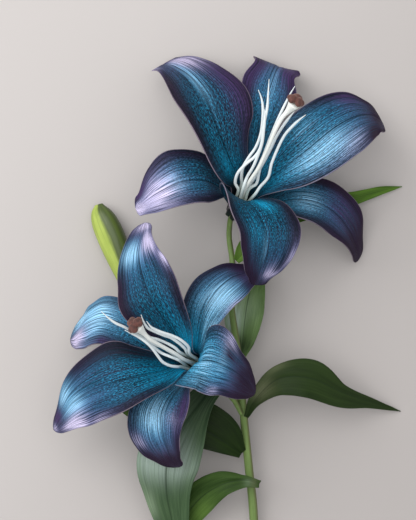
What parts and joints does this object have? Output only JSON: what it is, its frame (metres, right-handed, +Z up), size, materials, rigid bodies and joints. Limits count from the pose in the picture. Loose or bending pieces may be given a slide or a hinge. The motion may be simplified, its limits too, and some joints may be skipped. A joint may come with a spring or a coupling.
{
  "type": "lily stem",
  "caption": "Cut lily stem with open blue-violet flowers, bare white stamens, a green bud and long leaves, lying on its back",
  "frame": {"origin": "centre of the bounding box, on the surface the stem lies on", "axes": "+Y runs along the stem from the cut end to the upper flower, +Z is up, towards the open faces of the flowers, +X is to the right seen from above"},
  "size_m": [0.2304, 0.4076, 0.1183],
  "materials": {
    "tepal": "thin flower tissue, satin, teal near the throat to plum at the rims",
    "leaf": "waxy leaf with lengthwise veins",
    "stem": "smooth green stalk",
    "bud": "ribbed yellow-green bud",
    "filament": "smooth pale filament",
    "pistil": "smooth cream style",
    "stigma": "velvety red-brown"
  },
  "bodies": {
    "root": {"tepal_upper_inner_left": "tepal", "tepal_upper_inner_right": "tepal", "tepal_upper_inner_front": "tepal", "tepal_upper_outer_top": "tepal", "tepal_upper_outer_right": "tepal", "tepal_upper_outer_left": "tepal", "tepal_lower_inner_top": "tepal", "tepal_lower_inner_right": "tepal", "tepal_lower_inner_left": "tepal", "tepal_lower_outer_right": "tepal", "tepal_lower_outer_bottom": "tepal", "tepal_lower_outer_left": "tepal", "leaf_upper": "leaf", "leaf_middle": "leaf", "leaf_right": "leaf", "leaf_left": "leaf", "leaf_front": "leaf", "leaf_lower": "leaf", "filament_upper_1": "filament", "filament_upper_2": "filament", "filament_upper_3": "filament", "filament_upper_4": "filament", "filament_upper_5": "filament", "filament_upper_6": "filament", "pistil_upper": "pistil", "stigma_upper": "stigma", "filament_lower_1": "filament", "filament_lower_2": "filament", "filament_lower_3": "filament", "filament_lower_4": "filament", "filament_lower_5": "filament", "filament_lower_6": "filament", "pistil_lower": "pistil", "stigma_lower": "stigma", "main_stem": "stem", "lower_flower_stalk": "stem", "bud_stalk": "stem", "bud": "bud"}
  },
  "joints": []
}
